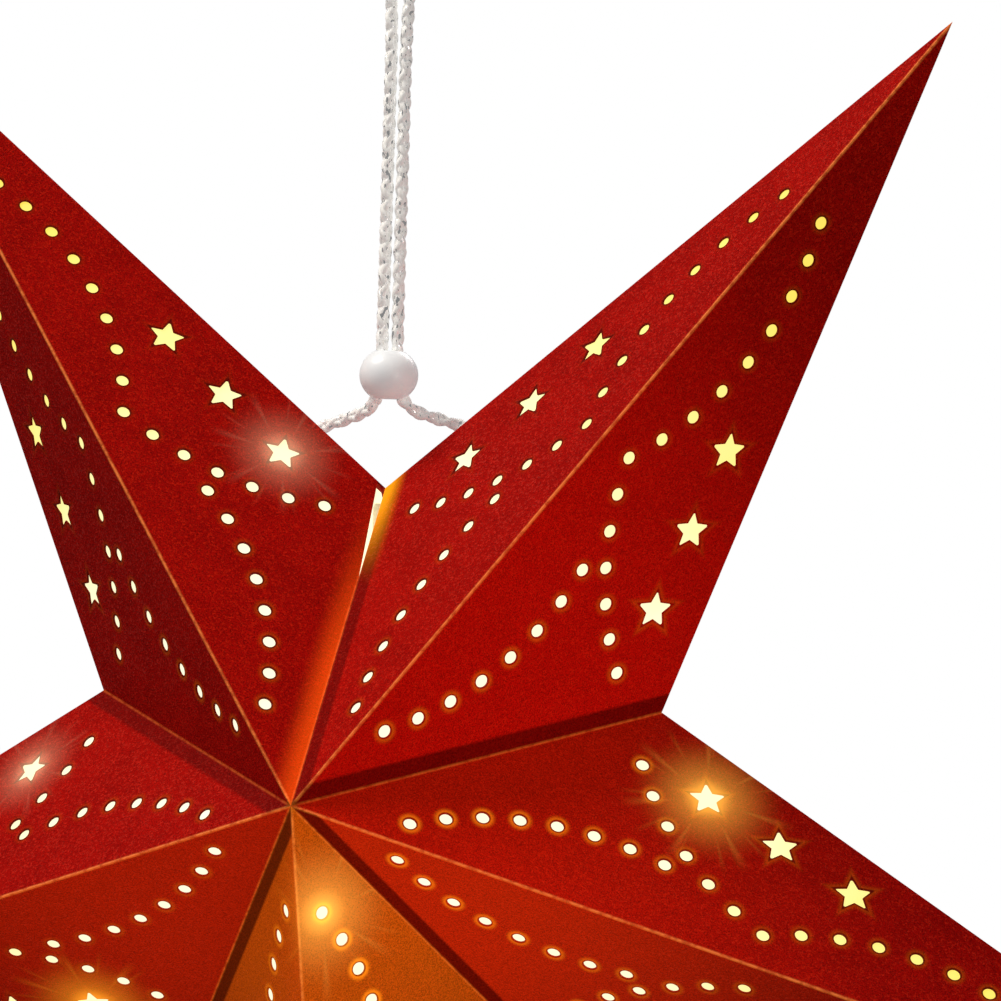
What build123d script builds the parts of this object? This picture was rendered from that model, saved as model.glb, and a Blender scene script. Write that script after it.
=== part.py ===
from build123d import *
from math import cos, sin, sqrt, radians, tan
import os

# A folded card star lantern with five points, lit from inside by a battery light set.
# It hangs by a doubled cord. The star stands in the XZ plane and its front faces -Y.
# The origin is where a hook bears on the inside of the cord's loop. Millimetres.

os.makedirs("parts", exist_ok=True)

# The folded star
tip_radius = 315.0
valley_radius = 101.0
half_depth = 86.0
point_count = 5
card = 0.5
tissue = 0.2
seat_gap = 0.3

# The punched pattern, in each panel's own plane: X runs up the ridge from the star's middle
dot_diameter = 4.2
outer_row = ((250.6, 11.2), (202.0, 24.2), (153.6, 13.0))
outer_row_dots = 9
inner_row = ((153.6, 13.0), (122.3, 33.8), (100.9, 62.3))
inner_row_dots = 7
middle_row = ((117.4, 26.8), (75.6, 26.2), (37.1, 8.9))
middle_row_dots = 8
star_row = ((177.4, 40.3), (124.0, 57.8))
punched_stars = 3
punched_star_radius = 6.6
punched_star_notch = 3.1
punched_star_tip_round = 0.5

# Glue tabs, tissue and the open seam
tab_width = 6.0
tab_end_gap = 3.0
tab_inner_radius = 12.0
tissue_edge = 2.0
tissue_tab_gap = 0.5
seam_mouth = 3.5
seam_mouth_length = 38.0
fastener_radius = 2.5
fastener_thickness = 0.5
fastener_places = (0.25, 0.5)

# The hanging cord, its bead and its eyelets
cord_diameter = 4.6
strand_gap = 0.4
hook_diameter = 13.0
loop_straight = 12.0
loop_taper = 46.0
loop_to_bead = 184.0
bead_to_valley = 37.0
bead_diameter = 19.3
bead_height = 15.7
bead_bore_clearance = 0.3
eyelet_from_valley = 33.0
eyelet_inset = 9.0
eyelet_bore_clearance = 0.3
eyelet_wall = 0.4
eyelet_flange = 1.4
leg_stand_off = 6.0
leg_bend_run = 8.0
leg_flare_drop = 8.6
knot_radius = 5.0

# The light set and its battery box
wire_diameter = 1.6
wire_ring_radius = 90.0
wire_bulge_radius = 112.0
wire_bulge_angle = 15.0
wire_running_gap = 0.05
bulb_bore_gap = 0.35
led_diameter = 5.0
led_length = 8.0
clip_size = (6.0, 6.0)
clip_inward = 4.0
clip_room = 1.6
cell_diameter = 14.2
cell_length = 50.0
cell_count = 3
cell_clearance = 0.4
cell_nub_diameter = 5.2
cell_nub_length = 1.2
box_wall = 2.2
box_floor = 1.6
contact_room = 3.4
contact_plate = 0.5
switch_room = 9.0
box_web = 1.4
lid_thickness = 1.5
lid_groove_depth = 1.2
lid_running_gap = 0.25
lid_lip = 0.9
switch_travel = 3.0
switch_neck = (2.6, 3.4)
switch_knob = (5.0, 4.4, 1.6)
switch_flange = (7.0, 5.0, 1.2)
board_thickness = 1.0
gland_place = 10.0
gland_radius = 2.2
gland_height = 3.0
wire_rise = 11.0
spring_radii = (4.2, 2.8)
spring_wall = 0.8

# Worked out from the sizes above
half_step = 180.0 / point_count
cord_top = cord_diameter / 2
bead_drop = loop_to_bead
star_drop = bead_drop + bead_to_valley + valley_radius
star_centre = Vector(0, 0, -star_drop)
arm_names = ("upper_right", "upper_left", "left", "bottom", "lower_right")
arm_angles = [90 - half_step + 2 * half_step * i for i in range(point_count)]
seam_angle = 90.0
front = -1
back = 1


def radial(angle, radius, depth=0.0):
    """A point in the star, by its angle in the XZ plane, its radius and its place along Y."""
    return star_centre + Vector(radius * cos(radians(angle)), depth, radius * sin(radians(angle)))


def across(angle):
    """The unit direction in the XZ plane a quarter turn anticlockwise from this angle."""
    return Vector(-sin(radians(angle)), 0, cos(radians(angle)))


class Panel:
    """One flat triangle of card between a ridge, a valley and the star's outer edge."""

    def __init__(self, arm_angle, side, face):
        self.arm_angle = arm_angle
        self.side = side
        self.face = face
        self.valley_angle = arm_angle + side * half_step
        self.apex = radial(arm_angle, 0, face * half_depth)
        self.tip = radial(arm_angle, tip_radius)
        self.valley = radial(self.valley_angle, valley_radius)
        normal = (self.tip - self.apex).cross(self.valley - self.apex).normalized()
        self.plane = Plane(self.apex, x_dir=self.tip - self.apex, z_dir=normal)
        self.outward = 1 if normal.Y * face > 0 else -1
        self.corners = [self.plane.to_local_coords(p) for p in (self.apex, self.tip, self.valley)]

    def layer(self, depth):
        """The panel's plane, sunk by depth below its outer face."""
        return self.plane.offset(-self.outward * depth)

    def ridge_side(self, away=0.0):
        """The plane through the ridge and the star's axis, facing into the panel."""
        inward = across(self.arm_angle) * self.side
        return Plane(self.apex + inward * away, z_dir=inward)

    def valley_side(self, away=0.0):
        """The plane through the valley and the star's axis, facing into the panel."""
        inward = across(self.valley_angle) * -self.side
        return Plane(self.apex + inward * away, z_dir=inward)

    def edge_side(self, away=0.0):
        """The star's middle plane, facing the panel's own half."""
        inward = Vector(0, self.face, 0)
        return Plane(star_centre + inward * away, z_dir=inward)

    def inner_side(self, depth):
        """The plane at this depth below the outer face, facing the star's inside."""
        surface = self.layer(depth)
        return Plane(surface.origin, z_dir=surface.z_dir * -self.outward)

    def sheet(self, depth, thickness, cuts):
        """Adds a sheet parallel to the panel, trimmed by planes that face what stays."""
        with BuildSketch(self.layer(depth)) as outline:
            with BuildLine():
                Polyline(*[(p.X, p.Y) for p in self.corners], close=True)
            make_face()
            offset(amount=8 * card, kind=Kind.INTERSECTION)
        extrude(outline.sketch, amount=-self.outward * thickness)
        for cut in cuts:
            split(bisect_by=cut, keep=Keep.TOP)


def along_arc(points, count):
    """Evenly spaced places on the arc through three points."""
    with BuildLine(mode=Mode.PRIVATE) as row:
        ThreePointArc(*points)
    return [row.line @ (i / (count - 1)) for i in range(count)]


def dot_places():
    """Every dot of one panel. The two long rows share the dot where they meet."""
    outer = along_arc(outer_row, outer_row_dots)
    inner = along_arc(inner_row, inner_row_dots)[1:]
    middle = along_arc(middle_row, middle_row_dots)
    return [(p.X, p.Y) for p in outer + inner + middle]


def star_places():
    """The punched stars stand in a straight row and point back to the star's middle."""
    first, last = Vector(*star_row[0]), Vector(*star_row[1])
    steps = [i / (punched_stars - 1) for i in range(punched_stars)]
    return [first + (last - first) * step for step in steps]


def star_corner(number):
    radius = punched_star_notch if number % 2 else punched_star_radius
    angle = radians(180 + number * 36)
    return (radius * cos(angle), radius * sin(angle))


with BuildSketch() as star_punch:
    Polygon(*[star_corner(i) for i in range(10)], align=None)
    star_tips = star_punch.vertices().sort_by(lambda v: -Vector(v.X, v.Y).length)[:5]
    fillet(star_tips, radius=punched_star_tip_round)


def punch_pattern(panel):
    """Cuts the dots and stars through the panel that is being built."""
    with BuildSketch(panel.plane) as pattern:
        with Locations(*dot_places()):
            Circle(dot_diameter / 2)
        with Locations(*[(p.X, p.Y) for p in star_places()]):
            add(star_punch.sketch)
    extrude(pattern.sketch, amount=2 * card, both=True, mode=Mode.SUBTRACT)


def finish(builder, name):
    builder.part.label = name
    export_step(builder.part, f"parts/{name}.step")


def eyelet_place(panel):
    """Where a cord leg goes through a back panel, in the panel's plane."""
    tip, valley = panel.corners[1], panel.corners[2]
    edge = (tip - valley).normalized()
    return valley + edge * eyelet_from_valley + Vector(edge.Y, -edge.X) * eyelet_inset


def round_hole(panel, place, radius):
    """Cuts a round hole square through the sheets at one place of a panel."""
    with BuildSketch(panel.plane) as hole:
        with Locations((place.X, place.Y)):
            Circle(radius)
    extrude(hole.sketch, amount=8 * card, both=True, mode=Mode.SUBTRACT)


def mouth_cut(panel):
    """The plane that trims the seam's free edge, so that it stands open at its outer end."""
    valley_line = (panel.valley - panel.apex).normalized()
    mouth_end = panel.valley - valley_line * seam_mouth_length
    edge_line = (panel.tip - panel.valley).normalized()
    mouth_line = panel.valley + edge_line * seam_mouth - mouth_end
    normal = mouth_line.cross(panel.plane.z_dir).normalized()
    if normal.dot(panel.tip - mouth_end) < 0:
        normal = normal * -1
    return Plane(mouth_end, z_dir=normal)


def disc(plane, place, radius, thickness):
    """Adds a round disc at one place of a plane."""
    with BuildSketch(plane) as circle:
        with Locations((place.X, place.Y)):
            Circle(radius)
    extrude(circle.sketch, amount=thickness)


# Sizes that several pieces share
cord_bore = cord_diameter + 2 * eyelet_bore_clearance
eyelet_outer = cord_bore + 2 * eyelet_wall
flange_radius = eyelet_outer / 2 + eyelet_flange
knot_depth = card + eyelet_wall
mouth_radius = valley_radius * (1 - seam_mouth_length / sqrt(valley_radius**2 + half_depth**2))
faces = ((front, "front"), (back, "back"))
sides = ((1, "left"), (-1, "right"))
panels = {}
for arm, arm_angle in zip(arm_names, arm_angles):
    for face, _ in faces:
        for side, _ in sides:
            panels[(arm, face, side)] = Panel(arm_angle, side, face)

eyelet_panels = (panels[("upper_left", back, -1)], panels[("upper_right", back, 1)])

# The twenty card panels. Left is the anticlockwise side of a point, seen from the front.
for (arm, face, side), panel in panels.items():
    name = f"{arm}_point_{dict(faces)[face]}_{dict(sides)[side]}_panel"
    with BuildPart() as card_panel:
        panel.sheet(0, card, (panel.ridge_side(), panel.valley_side(), panel.edge_side()))
        punch_pattern(panel)
        if (arm, face, side) == ("upper_left", front, -1):
            split(bisect_by=mouth_cut(panel), keep=Keep.TOP)
        if panel in eyelet_panels:
            round_hole(panel, eyelet_place(panel), eyelet_outer / 2)
    finish(card_panel, name)


def has_valley_tab(arm, side):
    """A glue tab lies behind each point's clockwise edge, except at the seam."""
    return side == -1 and arm != "upper_left"


def has_seam_tab(arm, side):
    return side == 1 and arm == "upper_right"


def has_ridge_tab(face, side):
    return face == back and side == 1


def tissue_sheet(arm, face, side):
    """The tissue behind one panel, clear of the tabs beside it."""
    panel = panels[(arm, face, side)]
    tabbed = has_valley_tab(arm, side) or has_seam_tab(arm, side)
    valley_room = tab_width + tissue_tab_gap if tabbed else tissue_edge
    ridge_room = tab_width + tissue_tab_gap if has_ridge_tab(face, side) else tissue_edge
    cuts = (
        panel.ridge_side(ridge_room),
        panel.valley_side(valley_room),
        panel.edge_side(tissue_edge),
    )
    with BuildPart() as one_sheet:
        panel.sheet(card, tissue, cuts)
        if panel in eyelet_panels:
            round_hole(panel, eyelet_place(panel), max(knot_radius, flange_radius) + seat_gap)
    return one_sheet.part


# Translucent tissue behind the holes, one node for each point
for arm in arm_names:
    sheets = [tissue_sheet(arm, face, side) for face, _ in faces for side, _ in sides]
    with BuildPart() as tissue_lining:
        add(sheets)
    finish(tissue_lining, f"{arm}_point_tissue_lining")


def past_radius(angle, radius):
    """The plane square to one direction of the star, facing outward."""
    return Plane(radial(angle, radius), z_dir=radial(angle, 1) - star_centre)


def valley_tab(arm, face):
    """The fold-over of the next point's card, glued behind this point's clockwise edge."""
    panel = panels[(arm, face, -1)]
    far_side = panel.valley_side(tab_width)
    cuts = (
        panel.valley_side(),
        Plane(far_side.origin, z_dir=far_side.z_dir * -1),
        panel.edge_side(tab_end_gap),
        past_radius(panel.valley_angle, tab_inner_radius),
    )
    with BuildPart() as tab:
        panel.sheet(card, card, cuts)
    return tab.part


def ridge_tab(arm):
    """The tab that closes each point along its back ridge."""
    panel = panels[(arm, back, 1)]
    far_side = panel.ridge_side(tab_width)
    valley_room = panel.valley_side(tab_width)
    cuts = (
        panel.ridge_side(),
        Plane(far_side.origin, z_dir=far_side.z_dir * -1),
        panel.edge_side(tab_end_gap),
        valley_room,
    )
    with BuildPart() as tab:
        panel.sheet(card, card, cuts)
    return tab.part


tabbed_arms = [arm for arm in arm_names if has_valley_tab(arm, -1)]
for face, face_name in faces:
    tabs = [valley_tab(arm, face) for arm in tabbed_arms]
    with BuildPart() as valley_tabs:
        add(tabs)
    finish(valley_tabs, f"{face_name}_valley_glue_tabs")

tabs = [ridge_tab(arm) for arm in arm_names]
with BuildPart() as ridge_tabs:
    add(tabs)
finish(ridge_tabs, "back_ridge_glue_tabs")


def seam_tab(face):
    """The free edge's tab, which reaches behind the next point and is held by fasteners."""
    panel = panels[("upper_right", face, 1)]
    free_edge = panels[("upper_left", face, -1)]
    far_side = panel.valley_side(tab_width)
    mouth = past_radius(seam_angle, mouth_radius)
    cuts = (
        free_edge.inner_side(card),
        Plane(far_side.origin, z_dir=far_side.z_dir * -1),
        Plane(mouth.origin, z_dir=mouth.z_dir * -1),
        past_radius(seam_angle, tab_inner_radius),
    )
    with BuildPart() as tab:
        panel.sheet(card + 2 * fastener_thickness, card, cuts)
    return tab.part


def fastener_spots(face):
    """The places of the round fasteners on one panel beside the seam."""
    panel = panels[("upper_right", face, 1)]
    valley_line = panel.corners[2].normalized()
    inward = Vector(valley_line.Y, -valley_line.X)
    reach = tab_width / 2 + card
    return [panel.corners[2] * part + inward * reach for part in fastener_places]


seam_tabs = [seam_tab(face) for face, _ in faces]
with BuildPart() as seam_closing_tabs:
    add(seam_tabs)
finish(seam_closing_tabs, "seam_closing_tabs")

for name, depth in (
    ("seam_hook_fasteners", card),
    ("seam_loop_fasteners", card + fastener_thickness),
):
    with BuildPart() as fasteners:
        for face, _ in faces:
            panel = panels[("upper_right", face, 1)]
            for spot in fastener_spots(face):
                thickness = -panel.outward * fastener_thickness
                disc(panel.layer(depth), spot, fastener_radius, thickness)
    finish(fasteners, name)

# Metal eyelets in the two back panels beside the seam, and the knot behind each
with BuildPart() as cord_eyelets:
    for panel in eyelet_panels:
        place = eyelet_place(panel)
        inward = -panel.outward
        disc(panel.layer(-eyelet_wall), place, flange_radius, inward * eyelet_wall)
        disc(panel.layer(0), place, eyelet_outer / 2, inward * card)
        disc(panel.layer(card), place, flange_radius, inward * eyelet_wall)
        round_hole(panel, place, cord_bore / 2)
finish(cord_eyelets, "cord_eyelets")


def knot(panel):
    """A knot's rounded lump, flat where it bears on the eyelet."""
    place = eyelet_place(panel)
    seat = panel.layer(knot_depth)
    with BuildPart() as lump:
        with Locations(Plane(seat.from_local_coords(place), z_dir=seat.z_dir)):
            Sphere(knot_radius)
        split(bisect_by=panel.inner_side(knot_depth), keep=Keep.TOP)
    return lump.part


knots = [knot(panel) for panel in eyelet_panels]
with BuildPart() as cord_knots:
    add(knots)
finish(cord_knots, "cord_end_knots")


def bend_radii(points):
    """The largest arc for each corner: 0.45 of its shorter run over the tangent of half the turn."""
    radii = []
    for before, corner, after in zip(points, points[1:], points[2:]):
        arriving, leaving = corner - before, after - corner
        half_turn = radians(arriving.get_angle(leaving)) / 2
        radii.append(0.45 * min(arriving.length, leaving.length) / tan(half_turn))
    return radii


def round_tube(points, diameter, name):
    """A tube of straight runs joined by arcs, with its radii and volume printed."""
    radii = bend_radii(points)
    with BuildPart() as tube:
        with BuildLine() as route:
            FilletPolyline(*points, radius=radii)
        with BuildSketch(Plane(points[0], z_dir=points[1] - points[0])):
            Circle(diameter / 2)
        sweep(path=route.wires()[0])
    length = sum(edge.length for edge in route.edges())
    ratio = tube.part.volume / (length * 3.14159265 * diameter**2 / 4)
    print(name, "length", round(length, 1), "volume ratio", round(ratio, 4))
    print(name, "radii", [round(radius, 1) for radius in radii])
    return tube


# The hanging cord: one length, from eyelet to eyelet, doubled through the bead
strand = (cord_diameter + strand_gap) / 2
loop_radius = (hook_diameter + cord_diameter) / 2
flare_top = -bead_drop - bead_height / 2 - leg_flare_drop
leg_routes = []
for panel, side in zip(eyelet_panels, (-1, 1)):
    start = panel.layer(knot_depth).from_local_coords(eyelet_place(panel))
    outward = panel.plane.z_dir * panel.outward
    bead_mouth = Vector(side * strand, 0, flare_top)
    stand_off = start + outward * leg_stand_off
    towards_bead = (bead_mouth - stand_off).normalized()
    bend = stand_off + (outward + towards_bead).normalized() * leg_bend_run
    leg_routes.append([start, stand_off, bend, bead_mouth])
loop_half = [
    Vector(strand, 0, -loop_straight - loop_taper),
    Vector(loop_radius, 0, -loop_straight),
    Vector(loop_radius, 0, cord_top),
]
left_half = leg_routes[0] + [Vector(-p.X, p.Y, p.Z) for p in loop_half]
right_half = leg_routes[1] + loop_half
cord_route = left_half + right_half[::-1]
print("cord route", [tuple(round(c, 2) for c in p) for p in cord_route])
hanging_cord = round_tube(cord_route, cord_diameter, "hanging_cord")
finish(hanging_cord, "hanging_cord")

# The white bead that slides on both strands
with BuildPart() as cord_bead:
    with BuildSketch(Plane.XZ):
        with Locations((0, -bead_drop)):
            Ellipse(bead_diameter / 2, bead_diameter / 2 * 0.93)
            Rectangle(bead_diameter, bead_height, mode=Mode.INTERSECT)
        with Locations((bead_diameter / 2, -bead_drop)):
            Rectangle(bead_diameter, bead_diameter, mode=Mode.INTERSECT)
    revolve(axis=Axis.Z)
    with BuildSketch(Plane.XY.offset(-bead_drop)):
        SlotCenterToCenter(2 * strand, cord_diameter + 2 * bead_bore_clearance)
    extrude(amount=bead_height, both=True, mode=Mode.SUBTRACT)
finish(cord_bead, "cord_bead")


# The battery box stands in the bottom point and bears on its four walls by its lower corners
inner_width = cell_count * (cell_diameter + cell_clearance)
inner_depth = cell_diameter + cell_clearance
inner_length = contact_room + cell_length + cell_nub_length + contact_plate
lid_slot = lid_thickness + 2 * lid_running_gap
box_width = inner_width + 2 * box_wall
box_depth = box_floor + inner_depth + lid_slot + lid_lip
box_length = box_floor + inner_length + box_web + switch_room + box_floor
wall = panels[("bottom", front, 1)]
wall_normal = wall.plane.z_dir * wall.outward
box_seat = wall.apex - wall_normal * (card + tissue + seat_gap)
lowest_corner = star_centre + Vector(box_width / 2, -box_depth / 2, 0)
box_drop = (lowest_corner - box_seat).dot(wall_normal) / wall_normal.Z
box_low = lowest_corner.Z - box_drop
if wall_normal.X < 0:
    box_low = (Vector(-lowest_corner.X, lowest_corner.Y, lowest_corner.Z) - box_seat).dot(wall_normal)
    box_low = lowest_corner.Z - box_low / wall_normal.Z
box_high = box_low + box_length
box_front = -box_depth / 2
box_back = box_depth / 2
cells_low = box_low + box_floor
cells_high = cells_low + inner_length
switch_low = cells_high + box_web
switch_middle = switch_low + switch_room / 2
lid_front = box_front + lid_lip
inner_back = box_back - box_floor


def block(low, high, mode=Mode.ADD):
    """A box between two opposite corners."""
    size = Vector(*high) - Vector(*low)
    with Locations(Vector(*low)):
        Box(size.X, size.Y, size.Z, align=Align.MIN, mode=mode)


half = inner_width / 2
switch_slot = switch_neck[0] / 2 + lid_running_gap
with BuildPart() as battery_box:
    block((-box_width / 2, box_front, box_low), (box_width / 2, box_back, box_high))
    fillet(battery_box.edges().filter_by(Axis.Z), radius=1.5)
    block((-half, box_front, cells_low), (half, inner_back, cells_high), Mode.SUBTRACT)
    block((-half, box_front, switch_low), (half, inner_back, switch_low + switch_room), Mode.SUBTRACT)
    groove = half + lid_groove_depth
    groove_low = cells_low - lid_groove_depth
    block((-groove, lid_front, groove_low), (groove, lid_front + lid_slot, box_high), Mode.SUBTRACT)
    block((-half, box_front, cells_low), (half, lid_front, box_high), Mode.SUBTRACT)
    block(
        (-switch_slot, inner_back, switch_middle - switch_neck[1] / 2 - lid_running_gap),
        (switch_slot + switch_travel, box_back, switch_middle + switch_neck[1] / 2 + lid_running_gap),
        Mode.SUBTRACT,
    )
    with Locations((gland_place, 0, box_high - box_floor / 2)):
        Cylinder(gland_radius, box_floor, mode=Mode.SUBTRACT)
finish(battery_box, "battery_box_base")

with BuildPart() as box_lid:
    lid_half = half + lid_groove_depth - lid_running_gap
    lid_back = lid_front + lid_running_gap + lid_thickness
    block(
        (-lid_half, lid_front + lid_running_gap, groove_low + lid_running_gap),
        (lid_half, lid_back, box_high),
    )
    for rib in range(4):
        rib_low = box_high - 6 - 3 * rib
        block((-8, box_front, rib_low), (8, lid_front + lid_running_gap, rib_low + 1))
finish(box_lid, "battery_box_lid")

with BuildPart() as switch_slider:
    neck, flange, knob_size = switch_neck, switch_flange, switch_knob
    flange_back = inner_back - lid_running_gap
    block(
        (-flange[0] / 2, flange_back - flange[2], switch_middle - flange[1] / 2),
        (flange[0] / 2, flange_back, switch_middle + flange[1] / 2),
    )
    block(
        (-neck[0] / 2, flange_back, switch_middle - neck[1] / 2),
        (neck[0] / 2, box_back + lid_running_gap, switch_middle + neck[1] / 2),
    )
    block(
        (-knob_size[0] / 2, box_back + lid_running_gap, switch_middle - knob_size[1] / 2),
        (knob_size[0] / 2, box_back + lid_running_gap + knob_size[2], switch_middle + knob_size[1] / 2),
    )
finish(switch_slider, "switch_slider")

with BuildPart() as switch_board:
    board_back = inner_back - 2 * lid_running_gap - switch_flange[2]
    block(
        (-half + seat_gap, board_back - board_thickness, switch_low + seat_gap),
        (half - seat_gap, board_back, switch_low + switch_room - seat_gap),
    )
finish(switch_board, "switch_board")

cell_middle = (inner_back + lid_front + lid_slot) / 2
cell_places = [(i - (cell_count - 1) / 2) * (cell_diameter + cell_clearance) for i in range(cell_count)]


def cell_ends(number):
    """Each second cell is turned over. Returns its plus end's height and its upward sign."""
    if number % 2:
        return cells_low + contact_plate, -1
    return cells_high - contact_plate, 1


with BuildPart() as cells:
    for number, x in enumerate(cell_places):
        plus_end, up = cell_ends(number)
        with BuildSketch(Plane.XY.offset(plus_end)) as nub:
            with Locations((x, cell_middle)):
                Circle(cell_nub_diameter / 2)
        extrude(nub.sketch, amount=-up * cell_nub_length)
        with BuildSketch(Plane.XY.offset(plus_end - up * cell_nub_length)) as can:
            with Locations((x, cell_middle)):
                Circle(cell_diameter / 2)
        extrude(can.sketch, amount=-up * cell_length)
finish(cells, "battery_cells")

with BuildPart() as plates:
    for x in cell_places:
        for low in (cells_low, cells_high - contact_plate):
            reach = spring_radii[0] + contact_plate
            block(
                (x - reach, cell_middle - reach, low),
                (x + reach, cell_middle + reach, low + contact_plate),
            )
finish(plates, "battery_contact_plates")

with BuildPart() as springs:
    spring_length = contact_room - contact_plate
    for number, x in enumerate(cell_places):
        plus_end, up = cell_ends(number)
        minus_plate = cells_high - contact_plate if up < 0 else cells_low + contact_plate
        centre = Vector(x, cell_middle, minus_plate)
        with Locations(Plane(centre, z_dir=(0, 0, up))):
            Cone(*spring_radii, spring_length, align=(Align.CENTER, Align.CENTER, Align.MIN))
            inner = [radius - spring_wall for radius in spring_radii]
            Cone(
                *inner,
                spring_length,
                align=(Align.CENTER, Align.CENTER, Align.MIN),
                mode=Mode.SUBTRACT,
            )
finish(springs, "battery_contact_springs")

# The light set's wire runs round the inside, through a clip at each valley
valley_angles = [seam_angle + 2 * half_step * i for i in (-2, -1, 0, 1, 2)]
wire_start = Vector(gland_place, 0, box_high - box_floor - 1)
wire_route = [wire_start, Vector(gland_place, 0, box_high + wire_rise)]
for number, angle in enumerate(valley_angles):
    if number > 0:
        wire_route.append(radial(angle - wire_bulge_angle, wire_bulge_radius))
    wire_route.append(radial(angle, wire_ring_radius))
    wire_route.append(radial(angle + wire_bulge_angle, wire_bulge_radius))
light_wire = round_tube(wire_route, wire_diameter, "light_wire")
finish(light_wire, "light_wire")

with BuildPart() as wire_gland:
    with Locations((gland_place, 0, box_high - box_floor)):
        Cylinder(
            gland_radius,
            box_floor + gland_height,
            align=(Align.CENTER, Align.CENTER, Align.MIN),
        )
        Cylinder(
            wire_diameter / 2 + wire_running_gap,
            2 * (box_floor + gland_height),
            mode=Mode.SUBTRACT,
        )
finish(wire_gland, "wire_gland")

# A bulb halfway along each run that meets a valley clip
clip_points = [radial(angle, wire_ring_radius) for angle in valley_angles]
bulb_planes = []
for start, end in zip(wire_route[1:], wire_route[2:]):
    if min(min((start - p).length, (end - p).length) for p in clip_points) < wire_diameter:
        bulb_planes.append(Plane((start + end) / 2, z_dir=end - start))
with BuildPart() as bulbs:
    with Locations(*bulb_planes):
        Cylinder(led_diameter / 2, led_length)
    fillet(bulbs.edges().filter_by(GeomType.CIRCLE), radius=led_diameter * 0.3)
    with Locations(*bulb_planes):
        Cylinder(wire_diameter / 2 + bulb_bore_gap, 2 * led_length, mode=Mode.SUBTRACT)
finish(bulbs, "light_bulbs")

# A clip at each valley holds the wire to the fold
with BuildPart() as clips:
    fold_radius = valley_radius * (1 - clip_size[1] / 2 / half_depth)
    clip_outer = fold_radius - clip_room
    clip_inner = wire_ring_radius - clip_inward
    for angle in valley_angles:
        middle = radial(angle, (clip_outer + clip_inner) / 2)
        outward = radial(angle, 1) - star_centre
        with Locations(Plane(middle, x_dir=outward, z_dir=across(angle))):
            Box(clip_outer - clip_inner, clip_size[1], clip_size[0])
    add(light_wire.part, mode=Mode.SUBTRACT)
finish(clips, "wire_clips")
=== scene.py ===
import math

import bmesh
import bpy
from mathutils import Matrix, Quaternion, Vector


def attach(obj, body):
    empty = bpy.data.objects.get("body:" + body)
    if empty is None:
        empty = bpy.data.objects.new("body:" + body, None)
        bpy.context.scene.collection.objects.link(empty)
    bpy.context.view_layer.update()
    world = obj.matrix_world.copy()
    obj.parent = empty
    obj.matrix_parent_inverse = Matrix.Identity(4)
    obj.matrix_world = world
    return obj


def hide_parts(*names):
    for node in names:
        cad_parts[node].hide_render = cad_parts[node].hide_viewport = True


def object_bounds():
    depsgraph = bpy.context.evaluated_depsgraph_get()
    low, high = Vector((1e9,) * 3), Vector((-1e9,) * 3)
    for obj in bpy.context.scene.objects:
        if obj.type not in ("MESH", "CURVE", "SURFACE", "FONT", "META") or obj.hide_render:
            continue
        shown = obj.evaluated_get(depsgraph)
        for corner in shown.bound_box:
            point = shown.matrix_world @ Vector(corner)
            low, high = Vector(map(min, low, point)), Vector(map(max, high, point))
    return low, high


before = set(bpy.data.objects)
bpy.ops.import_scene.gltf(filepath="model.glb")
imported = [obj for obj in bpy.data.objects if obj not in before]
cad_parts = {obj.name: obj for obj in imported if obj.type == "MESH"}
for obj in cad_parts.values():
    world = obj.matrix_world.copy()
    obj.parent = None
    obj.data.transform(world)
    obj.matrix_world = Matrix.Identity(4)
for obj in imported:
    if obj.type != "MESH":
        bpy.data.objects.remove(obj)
cadBox = [list(corner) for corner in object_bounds()]

# The folded star in metres and degrees, the same as in the solid model
star = {
    "middle": Vector((0, 0, -0.322)),
    "tipRadius": 0.315,
    "valleyRadius": 0.101,
    "halfDepth": 0.086,
    "ridgeToValley": 36,
    "armAngles": {"upper_right": 54, "upper_left": 126, "left": 198, "bottom": 270, "lower_right": 342},
}
# Settings that many nodes share
smooth = {"interpolation_type": "SMOOTHSTEP"}
inColour = {"data_type": "RGBA"}
addedLight = {"data_type": "RGBA", "blend_type": "ADD"}


def colour(code):
    # sRGB hex to the linear values that shaders take
    parts = [int(code[start:start + 2], 16) / 255 for start in (1, 3, 5)]
    linear = [part / 12.92 if part <= 0.04045 else ((part + 0.055) / 1.055) ** 2.4 for part in parts]
    return (*linear, 1)


def scaleFor(millimetres):
    # the texture scale that draws a pattern of this size on coordinates in metres
    return 1000 / millimetres


def fill(tree, node, inputs):
    # links or sets inputs, by name or in order; a node given as a value stands for its first live output
    for name, value in inputs.items() if isinstance(inputs, dict) else enumerate(inputs):
        if isinstance(value, bpy.types.Node):
            value = next(output for output in value.outputs if output.enabled)
        if isinstance(value, bpy.types.NodeSocket):
            tree.links.new(value, node.inputs[name])
        else:
            node.inputs[name].default_value = value


def add(tree, kind, inputs=(), **settings):
    # adds a node with its settings, links and values
    node = tree.nodes.new("ShaderNode" + kind)
    for name, value in settings.items():
        setattr(node, name, value)
    fill(tree, node, inputs)
    return node


def newMaterial(name):
    material = bpy.data.materials.new(name)
    material.use_nodes = True
    tree = material.node_tree
    shader = next(node for node in tree.nodes if node.type == "BSDF_PRINCIPLED")
    place = add(tree, "TexCoord").outputs["Object"]
    return material, tree, shader, place


def wear(material, *names):
    for name in names:
        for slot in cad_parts[name].material_slots:
            slot.material = material


def radial(angle, radius, depth=0.0):
    turn = math.radians(angle)
    return star["middle"] + Vector((radius * math.cos(turn), depth, radius * math.sin(turn)))


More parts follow.
